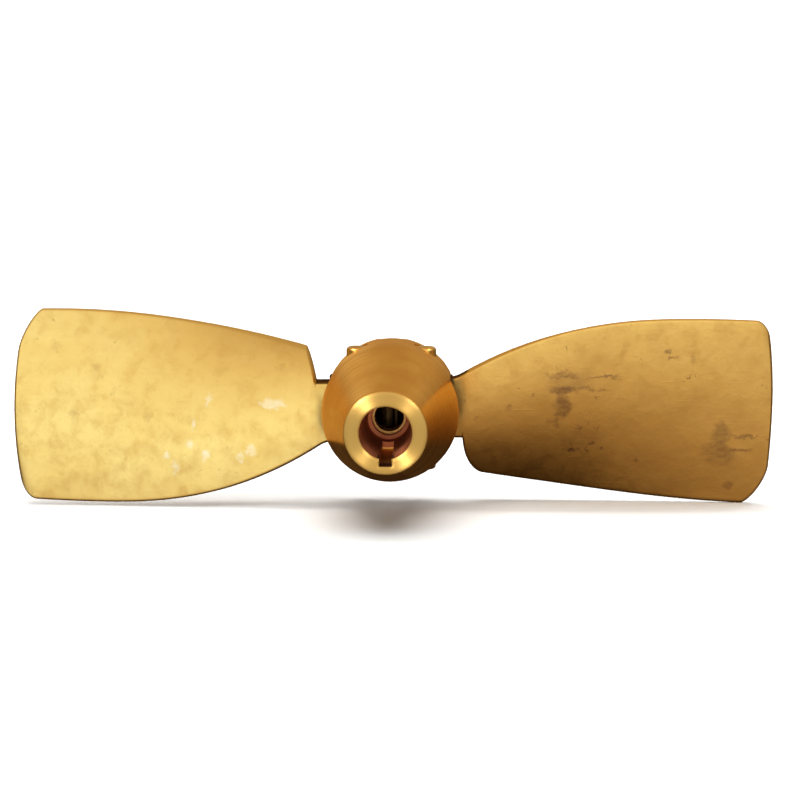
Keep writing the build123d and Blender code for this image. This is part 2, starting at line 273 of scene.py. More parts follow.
def edge_depth(radius, low, high, z, blade):
    """Distance in from the nearest edge of the blade, in millimetres."""
    lean = (float(trailing_z(radius + LEAN_STEP, blade)) - low) / LEAN_STEP
    inside = (z - low) / hypot(1.0, min(abs(lean), LEAN_MAX))
    return np.minimum(np.maximum(inside, z + blade["neck_half"]), high - z)


def blade_ring(radius, blade):
    """Front and back points of one ring across the blade, in millimetres."""
    low = float(trailing_z(radius, blade))
    high = float(leading_z(radius, blade))
    z = chord_points(low, high)
    depth = edge_depth(radius, low, high, z, blade)
    to_tip = TIP_R - radius
    along = (radius - THICK_BODY_X) / (TIP_R - THICK_BODY_X)
    edge = EDGE_BODY + (EDGE_TIP - EDGE_BODY) * max(along, 0.0)
    neck = NECK_HALF * (1 - between(radius, NECK_REACH))
    slope = pitch_slope(radius)
    half = (edge / 2 + neck) * sqrt(1 + slope * slope)
    toward_trailing, toward_leading = blade["tip_bend"]
    bend = np.where(z < 0, toward_trailing, toward_leading) * between(radius, (BEND_X, TIP_R))
    x = radius - bend * (radius - np.sqrt(radius * radius - z * z))
    fade = smooth_step(depth / EDGE_FADE) * smooth_step(to_tip / EDGE_FADE)
    fore_wave = np.array([waviness(a, b, blade["seed"]) for a, b in zip(x, z)]) * fade
    aft_wave = np.array([waviness(a, b, blade["seed"] + BACK_SEED_STEP) for a, b in zip(x, z)]) * fade
    rim = quarter_round(depth, EDGE_ROUND + NECK_ROUNDING * neck) * quarter_round(to_tip, EDGE_ROUND)
    front = front_face(radius, high, z, slope, half, blade) - fore_wave
    back = PIN_Y - z * slope + half - HOLLOW * fade + aft_wave
    centre = (front + back) / 2
    front = centre + (front - centre) * rim
    back = centre + (back - centre) * rim
    return np.stack([x, front, z], axis=1), np.stack([x, back, z], axis=1)


def blade_rings(blade):
    """Front and back points of every ring from the root to the tip."""
    rings = [blade_ring(float(radius), blade) for radius in span_stations()]
    return np.array([front for front, back in rings]), np.array([back for front, back in rings])


def grid_faces(bm, points, flip):
    """Skin a grid of points in millimetres with four-sided faces."""
    verts = [[bm.verts.new(Vector(p) * MM) for p in row] for row in points]
    for row, after in zip(verts, verts[1:]):
        for index in range(len(row) - 1):
            loop = [row[index], row[index + 1], after[index + 1], after[index]]
            bm.faces.new(loop[::-1] if flip else loop)


def blade_foil(blade):
    """Closed mesh of the blade from its neck to its tip."""
    bm = bmesh.new()
    front, back = blade_rings(blade)
    grid_faces(bm, front, flip=False)
    grid_faces(bm, back, flip=True)
    bmesh.ops.remove_doubles(bm, verts=bm.verts, dist=1e-6)
    open_edges = [edge for edge in bm.edges if edge.is_boundary]
    bmesh.ops.holes_fill(bm, edges=open_edges)
    bmesh.ops.recalc_face_normals(bm, faces=bm.faces)
    return bm


# ------------------------------------------------------------------ knuckle shape


def involute(angle):
    """Involute function of a pressure angle."""
    return tan(angle) - angle


def tooth_half_angle(radius):
    """Half the angle that a tooth takes up at a radius from the pivot."""
    half_thickness = (pi * MODULE / 2 - BACKLASH) / 2
    at_pitch = half_thickness / PIN_X + involute(PRESSURE_ANGLE)
    return at_pitch - involute(acos(min(GEAR_BASE_R / radius, 1.0)))


def tooth_reach(offset):
    """Radius of a tooth's outline at an angle from its middle."""
    radii = np.linspace(GEAR_TIP_R, GEAR_BASE_R, FLANK_STEPS)
    angles = [tooth_half_angle(radius) for radius in radii]
    if offset > angles[-1]:
        return GEAR_ROOT_R
    return float(np.interp(offset, angles, radii))


def arm_reach(angle):
    """Radius of the arm and stop lug in one direction from the pivot."""
    reach = 1e9
    direction = (cos(angle), sin(angle))
    for (x0, y0), (x1, y1) in zip(ARM_PLAN, ARM_PLAN[1:] + ARM_PLAN[:1]):
        normal = (y1 - y0, x0 - x1)
        toward = normal[0] * direction[0] + normal[1] * direction[1]
        if toward > 1e-9:
            reach = min(reach, (normal[0] * x0 + normal[1] * y0) / toward)
    return reach


def knuckle_outline(teeth):
    """Outer radius of the knuckle round its pivot, one value for each turn step."""
    outline = []
    for step in range(TURN_STEPS):
        angle = 2 * pi * step / TURN_STEPS
        radius = max(GEAR_ROOT_R, arm_reach(angle))
        for tooth in teeth:
            offset = abs((angle - tooth + pi) % (2 * pi) - pi)
            radius = max(radius, tooth_reach(offset))
        outline.append(radius)
    return np.array(outline)


def knuckle_mesh(teeth):
    """Closed mesh of the geared knuckle with its stepped bore, about the right-hand pivot."""
    outer = knuckle_outline(teeth)
    flat = np.ones(TURN_STEPS)
    half = KNUCKLE_HALF
    seat = half - BUSH_RECESS
    loops = [
        (outer, -(half - KNUCKLE_BEVEL)),
        (outer, half - KNUCKLE_BEVEL),
        (outer - KNUCKLE_BEVEL, half),
        (flat * BUSH_FLANGE_R, half),
        (flat * BUSH_FLANGE_R, seat),
        (flat * BUSH_R, seat),
        (flat * BUSH_R, -seat),
        (flat * BUSH_FLANGE_R, -seat),
        (flat * BUSH_FLANGE_R, -half),
        (outer - KNUCKLE_BEVEL, -half),
    ]
    angle = np.arange(TURN_STEPS) * 2 * pi / TURN_STEPS
    bm = bmesh.new()
    rows = []
    for radius, height in loops:
        x = PIN_X + radius * np.cos(angle)
        y = PIN_Y + radius * np.sin(angle)
        rows.append([bm.verts.new(Vector((a, b, height)) * MM) for a, b in zip(x, y)])
    for row, after in zip(rows, rows[1:] + rows[:1]):
        for index in range(TURN_STEPS):
            following = (index + 1) % TURN_STEPS
            bm.faces.new([row[index], row[following], after[following], after[index]])
    bmesh.ops.recalc_face_normals(bm, faces=bm.faces)
    return bm


def as_object(name, bm):
    """Put a finished mesh in the scene."""
    mesh = bpy.data.meshes.new(name)
    bm.to_mesh(mesh)
    bm.free()
    piece = bpy.data.objects.new(name, mesh)
    bpy.context.scene.collection.objects.link(piece)
    return piece


def apply_modifiers(piece):
    """Fix the result of a piece's modifiers in its mesh."""
    graph = bpy.context.evaluated_depsgraph_get()
    result = bpy.data.meshes.new_from_object(piece.evaluated_get(graph))
    piece.modifiers.clear()
    piece.data = result


def fuse(piece, other):
    """Join a second closed mesh to a piece and remove it."""
    joined = piece.modifiers.new("join", "BOOLEAN")
    joined.operation = "UNION"
    joined.solver = "EXACT"
    joined.object = other
    apply_modifiers(piece)
    bpy.data.objects.remove(other)


def make_blade(name, blade):
    """Detailed blade with its geared knuckle, replacing the CAD blade."""
    piece = as_object(name, blade_foil(blade))
    fuse(piece, as_object(name + "_knuckle", knuckle_mesh(blade["teeth"])))
    mesh = piece.data
    if blade["half_turn"]:
        for vert in mesh.vertices:
            vert.co.x, vert.co.z = -vert.co.x, -vert.co.z
    mesh.shade_smooth()
    mesh.set_sharp_from_angle(angle=SHARP_ANGLE)
    mesh.materials.clear()
    mesh.materials.append(blade["material"])
    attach(piece, blade["body"])
    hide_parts(blade["node"])
    return piece


# ------------------------------------------------------------------ material tools


class Shader:
    """A node material under construction, with short calls for the nodes used here."""

    def __init__(self, name):
        self.material = bpy.data.materials.new(name)
        self.material.use_nodes = True
        self.tree = self.material.node_tree
        self.tree.nodes.clear()
        self.place = self.node("ShaderNodeTexCoord").outputs["Object"]
        self.ragged = self.place

    def node(self, kind, **settings):
        made = self.tree.nodes.new(kind)
        for key, value in settings.items():
            setattr(made, key, value)
        return made

    def feed(self, socket, value):
        """Link a node's output to a socket, or set the socket to a constant."""
        if isinstance(value, bpy.types.NodeSocket):
            self.tree.links.new(value, socket)
        else:
            socket.default_value = value

    def scaled(self, scale, shift=(0, 0, 0)):
        mapping = self.node("ShaderNodeMapping")
        self.feed(mapping.inputs["Vector"], self.place)
        mapping.inputs["Scale"].default_value = scale
        mapping.inputs["Location"].default_value = shift
        return mapping.outputs["Vector"]

    def noise(self, size, detail=3.0, rough=0.5, distortion=0.0, vector=None, shift=0.0):
        """Noise whose features are about size metres across."""
        made = self.node("ShaderNodeTexNoise", noise_dimensions="4D")
        self.feed(made.inputs["Vector"], vector or self.place)
        made.inputs["W"].default_value = shift
        made.inputs["Scale"].default_value = 1.0 / size
        made.inputs["Detail"].default_value = detail
        made.inputs["Roughness"].default_value = rough
        made.inputs["Distortion"].default_value = distortion
        return made.outputs["Fac"]

    def ramp(self, value, low, high, out_low=0.0, out_high=1.0):
        made = self.node("ShaderNodeMapRange", interpolation_type="SMOOTHSTEP")
        self.feed(made.inputs["Value"], value)
        made.inputs["From Min"].default_value = low
        made.inputs["From Max"].default_value = high
        made.inputs["To Min"].default_value = out_low
        made.inputs["To Max"].default_value = out_high
        return made.outputs["Result"]

    def math(self, operation, first, second=0.0):
        made = self.node("ShaderNodeMath", operation=operation)
        self.feed(made.inputs[0], first)
        self.feed(made.inputs[1], second)
        return made.outputs["Value"]

    def mix(self, share, first, second):
        made = self.node("ShaderNodeMix", data_type="RGBA")
        self.feed(made.inputs["Factor"], share)
        for socket, colour in ((made.inputs[6], first), (made.inputs[7], second)):
            if not isinstance(colour, bpy.types.NodeSocket):
                colour = (*colour, 1.0)
            self.feed(socket, colour)
        return made.outputs[2]

    def bump(self, height, strength, distance, normal=None):
        made = self.node("ShaderNodeBump")
        self.feed(made.inputs["Height"], height)
        made.inputs["Strength"].default_value = strength
        made.inputs["Distance"].default_value = distance
        if normal is not None:
            self.feed(made.inputs["Normal"], normal)
        return made.outputs["Normal"]

    def ring_place(self, from_axis):
        """Texture place that changes only with distance from the shaft axis."""
        made = self.node("ShaderNodeCombineXYZ")
        self.feed(made.inputs["X"], from_axis)
        return made.outputs["Vector"]

    def soft_edges(self, radius):
        made = self.node("ShaderNodeBevel", samples=6)
        made.inputs["Radius"].default_value = radius
        return made.outputs["Normal"]

    def make_ragged(self, size, reach):
        """Shift the place of later spots by noise, so that their outlines are uneven."""
        made = self.node("ShaderNodeTexNoise")
        self.feed(made.inputs["Vector"], self.place)
        made.inputs["Scale"].default_value = 1.0 / size
        made.inputs["Detail"].default_value = 4.0
        made.inputs["Roughness"].default_value = 0.65
        shift = self.node("ShaderNodeVectorMath", operation="MULTIPLY_ADD")
        self.feed(shift.inputs[0], made.outputs["Color"])
        shift.inputs[1].default_value = (2 * reach, 0.0, 2 * reach)
        shift.inputs[2].default_value = (-reach, 0.0, -reach)
        moved = self.node("ShaderNodeVectorMath", operation="ADD")
        self.feed(moved.inputs[0], self.place)
        self.feed(moved.inputs[1], shift.outputs["Vector"])
        self.ragged = moved.outputs["Vector"]

    def spot(self, x, z, half_width, half_height):
        """Soft ellipse in millimetres, seen along the shaft: 1 at its centre, 0 at its rim."""
        offset = self.node("ShaderNodeVectorMath", operation="SUBTRACT")
        self.feed(offset.inputs[0], self.ragged)
        offset.inputs[1].default_value = (x * MM, 0.0, z * MM)
        shrunk = self.node("ShaderNodeVectorMath", operation="MULTIPLY")
        self.feed(shrunk.inputs[0], offset.outputs["Vector"])
        shrunk.inputs[1].default_value = (1 / (half_width * MM), 0.0, 1 / (half_height * MM))
        length = self.node("ShaderNodeVectorMath", operation="LENGTH")
        self.feed(length.inputs[0], shrunk.outputs["Vector"])
        return self.ramp(length.outputs["Value"], 1.0, 0.35)

    def forward(self):
        """1 on the blade's forward face, 0 on its back, whichever way the blade is folded."""
        split = self.node("ShaderNodeSeparateXYZ")
        self.feed(split.inputs["Vector"], self.node("ShaderNodeTexCoord").outputs["Normal"])
        return self.ramp(split.outputs["Y"], 0.1, -0.3)

    def near_pivot(self, patchiness):
        """Share of painted shade: the gear teeth, and the flats above and below the neck, next to the hub."""
        split = self.node("ShaderNodeSeparateXYZ")
        self.feed(split.inputs["Vector"], self.place)
        out = self.math("ABSOLUTE", split.outputs["X"])
        teeth = self.ramp(out, *PIVOT_SHADE_TEETH)
        facing = self.node("ShaderNodeSeparateXYZ")
        self.feed(facing.inputs["Vector"], self.node("ShaderNodeNewGeometry").outputs["Normal"])
        upright = self.ramp(self.math("ABSOLUTE", facing.outputs["Z"]), 0.55, 0.85)
        flats = self.math("MULTIPLY", upright, self.ramp(out, *PIVOT_SHADE_FLATS))
        share = self.math("MAXIMUM", teeth, flats)
        return self.math("MULTIPLY", share, self.ramp(patchiness, 0.2, 0.6, 0.75, 0.95))

    def principled(self, colour, roughness, normal=None, metallic=1.0, **constants):
        made = self.node("ShaderNodeBsdfPrincipled")
        self.feed(made.inputs["Base Color"], colour)
        self.feed(made.inputs["Roughness"], roughness)
        made.inputs["Metallic"].default_value = metallic
        for name, value in constants.items():
            made.inputs[name.replace("_", " ")].default_value = value
        if normal is not None:
            self.feed(made.inputs["Normal"], normal)
        return made

    def finish(self, surface):
        out = self.node("ShaderNodeOutputMaterial")
        self.tree.links.new(surface, out.inputs["Surface"])
        return self.material


# ------------------------------------------------------------------ materials

GOLD_LIGHT = (0.92, 0.68, 0.235)
GOLD_MID = (0.9, 0.64, 0.205)
GOLD = (0.88, 0.555, 0.155)
GOLD_DULL = (0.82, 0.505, 0.14)
GOLD_DEEP = (0.74, 0.42, 0.1)
TURNED = (0.87, 0.51, 0.135)
TURNED_DEEP = (0.78, 0.42, 0.1)
TARNISH = (0.2, 0.11, 0.05)
SMEAR = (0.36, 0.2, 0.085)
# Pale colour painted in at the glints as highlights
GLINT_HIGHLIGHT = (0.98, 0.86, 0.6)
# Painted shade: near-black brown on the gear teeth and the knuckle flats next to the hub
PIVOT_SHADE = (0.1, 0.055, 0.03)
# Painted shade and painted inner reflection in the bore: darker, redder bronze, near black past the ledge and
# in the keyway
BORE_SHADED = (0.56, 0.2, 0.09)
BORE_SHADE = (0.42, 0.13, 0.06)
BORE_DEEP_SHADOW = (0.1, 0.04, 0.024)
LEDGE = (0.95, 0.5, 0.18)
FACE = (0.97, 0.64, 0.19)
FACE_DEEP = (0.89, 0.52, 0.13)
PIN = (0.9, 0.58, 0.165)
NUT = (0.9, 0.55, 0.19)
NUT_DEEP = (0.7, 0.38, 0.12)
STEEL = (0.6, 0.59, 0.57)
STEEL_DEEP = (0.42, 0.41, 0.4)
POLYMER = (0.82, 0.79, 0.7)
POLYMER_DEEP = (0.7, 0.66, 0.56)
RUBBER = (0.035, 0.034, 0.033)
RUBBER_DEEP = (0.018, 0.018, 0.018)
FLOOR_LIGHT = (0.875, 0.875, 0.87)
FLOOR_DULL = (0.865, 0.865, 0.86)
EDGE_TINT = (1.0, 0.82, 0.6)
# Specular tint inside the painted shade by the pivot
EDGE_DARK = (0.12, 0.07, 0.04)


def blade_bronze(name, tone, seed, rough, wear, smudges=(), glints=()):
    """Cast bronze ground and polished by hand: cloudy, finely speckled, with a few pits and smears, painted
    highlights at the glints, and painted shade by the pivot.
    """
    s = Shader(name)
    clouds = s.noise(0.03, detail=3, rough=0.5, distortion=0.8, shift=seed)
    blotches = s.noise(0.008, detail=3, rough=0.55, distortion=0.4, shift=seed + 1)
    speckle = s.noise(0.0016, detail=3, rough=0.6, shift=seed + 2)
    light, middle, deep = tone
    colour = s.mix(s.ramp(clouds, 0.36, 0.66), middle, light)
    colour = s.mix(s.ramp(blotches, 0.46, 0.74, 0.0, 0.3 * wear), colour, deep)
    colour = s.mix(s.ramp(speckle, 0.55, 0.8, 0.0, 0.35 * wear), colour, deep)
    stains = s.noise(0.0045, detail=4, rough=0.65, distortion=0.6, shift=seed + 6)
    pits = s.math("MULTIPLY", s.ramp(stains, 0.64, 0.72), s.ramp(clouds, 0.42, 0.56, 0.0, 0.5 * wear))
    colour = s.mix(pits, colour, TARNISH)
    patchiness = s.noise(0.003, detail=5, rough=0.7, vector=s.scaled((0.4, 1.0, 1.0)), shift=seed + 3)
    s.make_ragged(0.005, 0.005)
    forward = s.forward()
    for *place, strength in smudges:
        share = s.math("MULTIPLY", s.spot(*place), s.ramp(patchiness, 0.36, 0.6, 0.35 * strength, strength))
        colour = s.mix(s.math("MULTIPLY", share, forward), colour, SMEAR)
    # Painted highlights: a pale colour painted in at each glint
    for place in glints:
        share = s.math("MULTIPLY", s.spot(*place), s.ramp(patchiness, 0.35, 0.6, 0.25, 0.75))
        colour = s.mix(s.math("MULTIPLY", share, forward), colour, GLINT_HIGHLIGHT)
    # Painted shade by the pivot: a near-black colour, more roughness and a dark specular tint
    pivot_shade_share = s.near_pivot(patchiness)
    colour = s.mix(pivot_shade_share, colour, PIVOT_SHADE)
    scratches = s.noise(0.0012, detail=2, vector=s.scaled((0.04, 1.0, 1.6)), shift=seed + 4)
    roughness = s.math(
        "ADD", s.ramp(blotches, 0.3, 0.75, rough - 0.05, rough + 0.07), s.ramp(speckle, 0.45, 0.7, 0.0, 0.05)
    )
    roughness = s.math("ADD", roughness, s.math("MULTIPLY", pivot_shade_share, 0.15))
    normal = s.bump(clouds, 0.35, 0.0008)
    normal = s.bump(blotches, 0.3 * wear, 0.00028, normal)
    normal = s.bump(speckle, 0.3 * wear, 0.00008, normal)
    normal = s.bump(s.ramp(scratches, 0.6, 0.75), 0.3 * wear, 0.00004, normal)
    surface = s.principled(colour, roughness, normal)
    s.feed(surface.inputs["Specular Tint"], s.mix(pivot_shade_share, EDGE_TINT, EDGE_DARK))
    return s.finish(surface.outputs["BSDF"])


# Marks on the forward faces in millimetres: x, z, half width, half height, then strength for the dark ones.
# The glints are painted highlights; the smears are dark stains.
GLINTS = [
    (-59, 3, 9, 3),
    (-91, 4, 1.6, 5),
    (-99, -8, 2.2, 3),
    (-100, -17, 3, 3.2),
    (-92, -23, 3, 3.5),
    (-108, -29, 2.6, 3.5),
    (-112, -22, 2.6, 3),
    (-70, -20, 3.5, 3.5),
    (-75, -24, 2.2, 3),
]
LEFT_SMEARS = [
    (-160, -4, 3, 5, 0.22),
    (-122, -4, 3, 5, 0.22),
    (-170, 30, 4, 4, 0.18),
    (-149, 20, 3, 3, 0.2),
    (-55, 20, 4, 3, 0.2),
    (-140, 8, 2, 4, 0.15),
]
RIGHT_SMEARS = [
    (85, 18.5, 11, 2.6, 0.75),
    (90, 15, 17, 8, 0.35),
    (105, 17.6, 11, 1.3, 0.8),
    (85.5, 10.5, 8.5, 3.4, 0.95),
    (85, 2.5, 6, 9, 0.85),
    (82, -5, 2.6, 6, 0.7),
    (97, 11, 6, 1.4, 0.6),
    (106, 11, 4, 1.2, 0.5),
    (165, -12, 6, 8, 0.6),
    (164, -22, 10, 9, 0.6),
    (176, -14, 10, 1.3, 0.7),
    (175, -21, 8, 1.6, 0.8),
    (136, 29, 3.4, 1.3, 0.75),
    (140, 26.6, 4.4, 1.2, 0.8),
    (150, 26, 2, 4, 0.4),
    (71, 9, 1.8, 2.6, 0.6),
    (59, 1, 1.8, 1.8, 0.6),
    (94, -9, 3, 1.6, 0.5),
    (102, -9, 2.2, 1.6, 0.6),
    (100, -17, 2, 1.6, 0.8),
    (91.5, -20.5, 2.4, 1.8, 0.9),
    (98.5, -21, 1.6, 1.4, 0.8),
    (105.5, -20.5, 2.2, 1.6, 0.85),
    (124, -26, 1.8, 1.4, 0.8),
    (96, -16, 16, 8, 0.25),
    (170, -40, 3, 4, 0.5),
]


def turned_bronze(name):
    """Lathe-turned bronze: fine rings round the shaft axis, a bright end face, and painted shade in the bore:
    a darker, redder bronze, near black at its far end and in the keyway.
    """
    s = Shader(name)
    split = s.node("ShaderNodeSeparateXYZ")
    s.feed(split.inputs["Vector"], s.place)
    across, along, up = (split.outputs[axis] for axis in "XYZ")
    clouds = s.noise(0.02, detail=3, rough=0.5)
    marks = s.noise(0.0006, detail=3, rough=0.6, vector=s.scaled((0.02, 1.0, 0.02)))
    speckle = s.noise(0.0012, detail=2)
    from_axis = s.math("SQRT", s.math("ADD", s.math("POWER", across, 2.0), s.math("POWER", up, 2.0)))

    colour = s.mix(s.ramp(clouds, 0.35, 0.7), TURNED_DEEP, TURNED)
    colour = s.mix(s.ramp(speckle, 0.6, 0.85, 0.0, 0.2), colour, TARNISH)
    keyway = s.math("MULTIPLY", s.ramp(s.math("ABSOLUTE", across), *KEYWAY_SIDE), s.ramp(up, *KEYWAY_TOP))
    keyway = s.math("MULTIPLY", keyway, s.ramp(from_axis, *KEYWAY_FLOOR))
    keyway = s.math("MULTIPLY", keyway, s.ramp(along, *KEYWAY_SHADE))
    inside = s.math("MAXIMUM", s.ramp(from_axis, *BORE_RADIUS), keyway)
    inside = s.math("MULTIPLY", inside, s.ramp(along, *INNER_DEPTH))
    # Painted shade in the bore and keyway: darker, redder bronze, a bright bronze on the ledge, near black
    # past the ledge and in the keyway
    bore_shading = s.mix(s.ramp(clouds, 0.4, 0.65), BORE_SHADED, BORE_SHADE)
    bore_shading = s.mix(s.ramp(along, *LEDGE_DEPTH), bore_shading, LEDGE)
    bore_shading = s.mix(s.math("MAXIMUM", keyway, s.ramp(along, *POCKET_DEPTH)), bore_shading, BORE_DEEP_SHADOW)
    colour = s.mix(inside, colour, bore_shading)
    roughness = s.math("ADD", s.ramp(marks, 0.3, 0.7, 0.26, 0.34), s.math("MULTIPLY", inside, 0.12))
    normal = s.soft_edges(0.0006)
    normal = s.bump(clouds, 0.06, 0.0008, normal)
    normal = s.bump(marks, 0.2, 0.00004, normal)
    round_axis = s.node("ShaderNodeTangent", direction_type="RADIAL", axis="Y")
    side = s.principled(colour, roughness, normal, Anisotropic=0.8, Anisotropic_Rotation=0.25)
    side.inputs["Specular Tint"].default_value = (*EDGE_TINT, 1.0)
    s.feed(side.inputs["Tangent"], round_axis.outputs["Tangent"])

    rings = s.noise(0.0007, detail=3, vector=s.ring_place(from_axis))
    face_colour = s.mix(s.ramp(rings, 0.4, 0.75, 0.0, 0.6), FACE, FACE_DEEP)
    face_normal = s.bump(rings, 0.25, 0.00003, s.soft_edges(0.0022))
    face = s.principled(face_colour, 0.5, face_normal, Anisotropic=0.97, Anisotropic_Rotation=0.25)
    s.feed(face.inputs["Tangent"], round_axis.outputs["Tangent"])
    both = s.node("ShaderNodeMixShader")
    s.feed(both.inputs["Fac"], s.ramp(along, *FACE_DEPTH))
    s.feed(both.inputs[1], side.outputs["BSDF"])
    s.feed(both.inputs[2], face.outputs["BSDF"])
    return s.finish(both.outputs["Shader"])


def plain_metal(name, light, deep, rough, grain=0.0008):
    """Machined metal with fine grain, faint clouds and softened edges."""
    s = Shader(name)
    clouds = s.noise(0.008, detail=4)
    fine = s.noise(grain, detail=3, rough=0.6)
    colour = s.mix(s.ramp(clouds, 0.35, 0.7), deep, light)
    roughness = s.ramp(fine, 0.3, 0.7, rough - 0.05, rough + 0.08)
    normal = s.bump(fine, 0.2, 0.00006, s.soft_edges(0.0003))
    return s.finish(s.principled(colour, roughness, normal).outputs["BSDF"])


def soft_material(name, light, deep, rough, grain):
    """Rubber or polymer: faint mottling and a fine moulded grain."""
    s = Shader(name)
    clouds = s.noise(0.006, detail=4)
    fine = s.noise(grain, detail=3, rough=0.6)
    colour = s.mix(s.ramp(clouds, 0.3, 0.7), deep, light)
    roughness = s.ramp(fine, 0.3, 0.7, rough - 0.08, rough + 0.08)
    normal = s.bump(fine, 0.3, 0.00008, s.soft_edges(0.0003))
    return s.finish(s.principled(colour, roughness, normal, metallic=0.0).outputs["BSDF"])


def dress_cad_nodes():
    """Give every kept CAD node its procedural material, slot by slot."""
    finishes = {
        "bronze_turned": turned_bronze("turned_bronze"),
        "pin_bronze": plain_metal("pin_bronze", PIN, GOLD_DEEP, 0.32),
        "nut_bronze": plain_metal("nut_bronze", NUT, NUT_DEEP, 0.36),
        "stainless": plain_metal("stainless", STEEL, STEEL_DEEP, 0.3),
        "bearing_polymer": soft_material("bearing_polymer", POLYMER, POLYMER_DEEP, 0.5, 0.0006),
        "rubber": soft_material("rubber", RUBBER, RUBBER_DEEP, 0.7, 0.0005),
    }
    kept = {row["node"]: row["material_slot"] for row in frame["record"]["subparts"]}
    for node, slot_name in kept.items():
        if slot_name in finishes:
            piece = frame["nodes"][node]
            for material_slot in piece.material_slots:
                material_slot.material = finishes[slot_name]


# ------------------------------------------------------------------ stage, light and camera


# Floor and wall, in metres
FLOOR_RADII = (0.02, 0.8, 2.6)
FLOOR_BEND = 1.2
WALL_TOP = 3.5
BEND_RINGS = 16
FLOOR_SPOKES = 96


def make_floor():
    """Pale round floor that curves up on all sides into a wall."""
    low = min(cad_bounds[0][2], cad_bounds[1][2])
    bm = bmesh.new()
    rows = []
    profile = [(radius, 0.0) for radius in FLOOR_RADII]
    for step in range(1, BEND_RINGS + 1):
        turn = pi / 2 * step / BEND_RINGS
        profile.append((FLOOR_RADII[-1] + FLOOR_BEND * sin(turn), FLOOR_BEND * (1 - cos(turn))))
    profile.append((FLOOR_RADII[-1] + FLOOR_BEND, WALL_TOP))
    for radius, height in profile:
        angles = [2 * pi * step / FLOOR_SPOKES for step in range(FLOOR_SPOKES)]
        rows.append([bm.verts.new((radius * cos(a), radius * sin(a), low + height)) for a in angles])
    bm.faces.new(rows[0])
    for row, after in zip(rows, rows[1:]):
        for index in range(FLOOR_SPOKES):
            following = (index + 1) % FLOOR_SPOKES
            bm.faces.new([row[index], row[following], after[following], after[index]])
    bmesh.ops.recalc_face_normals(bm, faces=bm.faces)
    floor = as_object("floor", bm)
    floor.data.shade_smooth()
    s = Shader("pale_floor")
    grain = s.noise(0.05, detail=3)
    colour = s.mix(s.ramp(grain, 0.3, 0.7), FLOOR_DULL, FLOOR_LIGHT)
    floor.data.materials.append(s.finish(s.principled(colour, 0.9, metallic=0.0).outputs["BSDF"]))
    floor.visible_glossy = False


def aim(piece, place, target):
    """Put a lamp or the camera at a place and turn it to a target, in metres."""
    piece.location = place
    piece.rotation_euler = (Vector(target) - Vector(place)).to_track_quat("-Z", "Y").to_euler()


WARM_WHITE = (1.0, 0.97, 0.92)
WHITE = (1.0, 1.0, 1.0)
BETWEEN_PINS = (0, PIN_Y * MM, 0)


def softbox(name, place, size, power, lit=None, colour=WARM_WHITE, in_metal=True, target=BETWEEN_PINS):
    """Area light on a target. It shines on the lit collection only, or on everything if there is none."""
    light = bpy.data.lights.new(name, "AREA")
    light.shape = "RECTANGLE"
    light.size, light.size_y = size
    light.energy = power
    light.color = colour
    lamp = bpy.data.objects.new(name, light)
    lamp.light_linking.receiver_collection = lit
    bpy.context.scene.collection.objects.link(lamp)
    lamp.visible_glossy = in_metal
    aim(lamp, place, target)


# What the metal reflects at each height, from straight down (-1) to straight up (1)
FRONT_ROOM = [
    (-1.0, (0.018, 0.011, 0.007)),
    (-0.93, (0.03, 0.018, 0.012)),
    (-0.85, (0.085, 0.052, 0.032)),
    (-0.7, (0.24, 0.158, 0.1)),
    (-0.48, (0.42, 0.31, 0.22)),
    (-0.25, (0.62, 0.55, 0.46)),
    (-0.12, (0.83, 0.85, 0.81)),
    (0.0, (0.94, 1.0, 1.0)),
    (0.12, (0.92, 0.97, 0.96)),
    (0.35, (0.84, 0.85, 0.8)),
    (0.68, (0.71, 0.62, 0.5)),
    (0.9, (0.52, 0.39, 0.26)),
    (1.0, (0.4, 0.3, 0.2)),
]
SIDE_ROOM = [
    (-1.0, (0.015, 0.009, 0.006)),
    (-0.4, (0.05, 0.032, 0.021)),
    (0.0, (0.175, 0.122, 0.075)),
    (0.4, (0.29, 0.22, 0.142)),
    (1.0, (0.4, 0.3, 0.2)),
]
BACK_ROOM = [
    (-1.0, (0.02, 0.012, 0.008)),
    (-0.15, (0.028, 0.017, 0.011)),
    (0.0, (0.15, 0.106, 0.065)),
    (0.25, (0.34, 0.268, 0.165)),
    (0.6, (0.42, 0.33, 0.205)),
    (1.0, (0.4, 0.3, 0.2)),
]
SIDE_FROM = 0.38
SIDE_TO = 0.85
BEHIND_FROM = -0.35
BEHIND_TO = 0.25
ROOM_STRENGTH = 1.38


def height_ramp(tree, height, stops):
    """Colour ramp node over a height between -1 and 1."""
    ramp = tree.nodes.new("ShaderNodeValToRGB")
    tree.links.new(height, ramp.inputs["Fac"])
    elements = ramp.color_ramp.elements
    while len(elements) < len(stops):
        elements.new(0.5)
    for element, (level, colour) in zip(elements, stops):
        element.position = (level + 1) / 2
        element.color = (*colour, 1.0)
    return ramp.outputs["Color"]


def world_share(tree, value, low, high):
    """Smooth 0 to 1 as a value goes from low to high."""
    made = tree.nodes.new("ShaderNodeMapRange")
    made.interpolation_type = "SMOOTHSTEP"
    made.inputs["From Min"].default_value = low
    made.inputs["From Max"].default_value = high
    tree.links.new(value, made.inputs["Value"])
    return made.outputs["Result"]


def world_mix(tree, share, first, second):
    """Blend of two colours of the room."""
    made = tree.nodes.new("ShaderNodeMix")
    made.data_type = "RGBA"
    tree.links.new(share, made.inputs["Factor"])
    tree.links.new(first, made.inputs[6])
    tree.links.new(second, made.inputs[7])
    return made.outputs[2]


